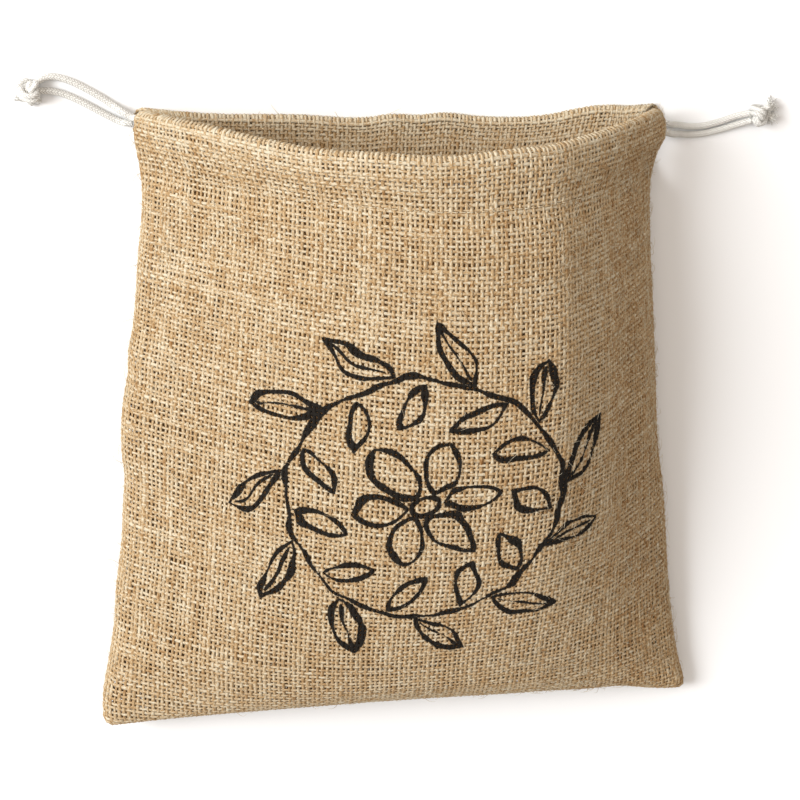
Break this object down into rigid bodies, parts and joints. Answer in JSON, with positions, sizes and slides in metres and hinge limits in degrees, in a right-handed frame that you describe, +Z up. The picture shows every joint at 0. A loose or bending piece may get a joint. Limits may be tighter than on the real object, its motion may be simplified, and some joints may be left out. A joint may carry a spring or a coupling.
{
  "type": "hessian drawstring sack",
  "caption": "Small jute hessian sack lying on its back with its mouth propped open, turned hems round cotton drawcords knotted at both sides.",
  "frame": {"origin": "on the surface under the middle of the sack's own bounding box, the free cords left out", "axes": "+X across the face to the viewer's right, +Y from the bottom seam to the mouth, +Z up out of the face"},
  "size_m": [0.3325, 0.3088, 0.0872],
  "materials": {
    "hessian_front": "plain open weave jute, matt, with a black print",
    "hessian_back": "plain open weave jute, matt",
    "cotton_cord": "braided cotton, off-white, matt"
  },
  "bodies": {
    "root": {"front_panel": "hessian_front", "back_panel": "hessian_back", "drawcord_left": "cotton_cord", "drawcord_right": "cotton_cord", "strand_left_front": "cotton_cord", "strand_left_back": "cotton_cord", "strand_right_front": "cotton_cord", "strand_right_back": "cotton_cord", "knot_left": "cotton_cord", "knot_right": "cotton_cord", "tail_left_upper": "cotton_cord", "tail_left_lower": "cotton_cord", "tail_right_upper": "cotton_cord", "tail_right_lower": "cotton_cord"}
  },
  "joints": []
}
